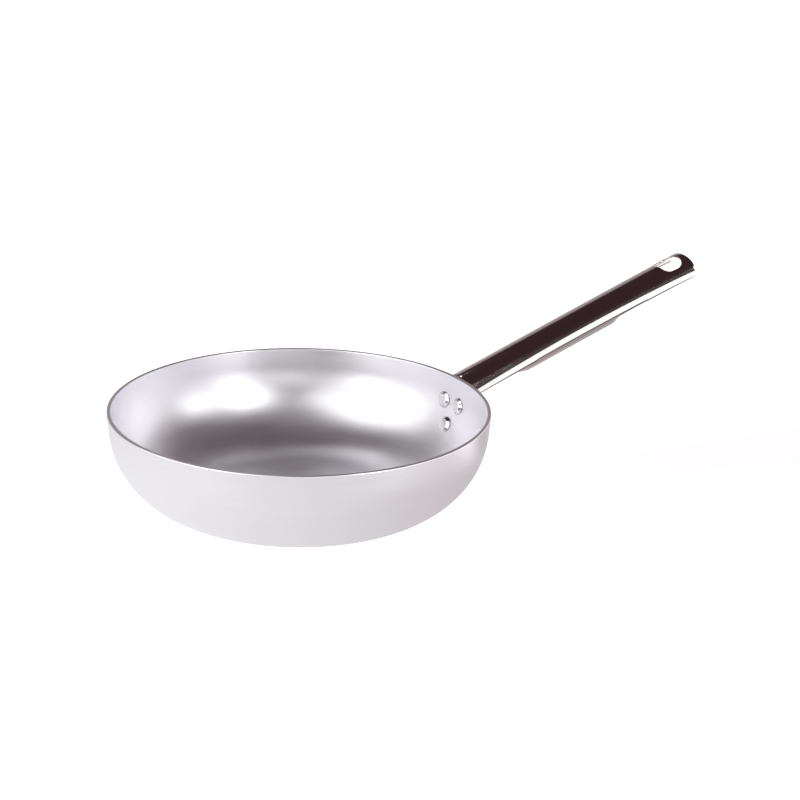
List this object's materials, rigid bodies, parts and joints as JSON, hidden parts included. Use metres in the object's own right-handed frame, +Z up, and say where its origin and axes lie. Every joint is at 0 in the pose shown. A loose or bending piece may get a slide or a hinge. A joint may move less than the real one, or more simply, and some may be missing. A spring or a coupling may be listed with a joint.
{
  "type": "deep frying pan",
  "caption": "Deep round frying pan with a flat base, a steep curved wall, a flat rim and a long riveted handle with a hang hole.",
  "frame": {"origin": "centre of the flat base's underside, where the pan stands", "axes": "+Z up, +X along the handle, away from the bowl"},
  "size_m": [0.5001, 0.28, 0.1429],
  "materials": {
    "bowl_aluminium": "satin",
    "handle_steel": "polished",
    "rivet_aluminium": "polished"
  },
  "bodies": {
    "root": {"pan_body": "bowl_aluminium", "handle_upper_shell": "handle_steel", "handle_lower_shell": "handle_steel", "handle_mount_plate": "handle_steel", "rivet_upper_left": "rivet_aluminium", "rivet_upper_right": "rivet_aluminium", "rivet_lower": "rivet_aluminium"}
  },
  "joints": []
}
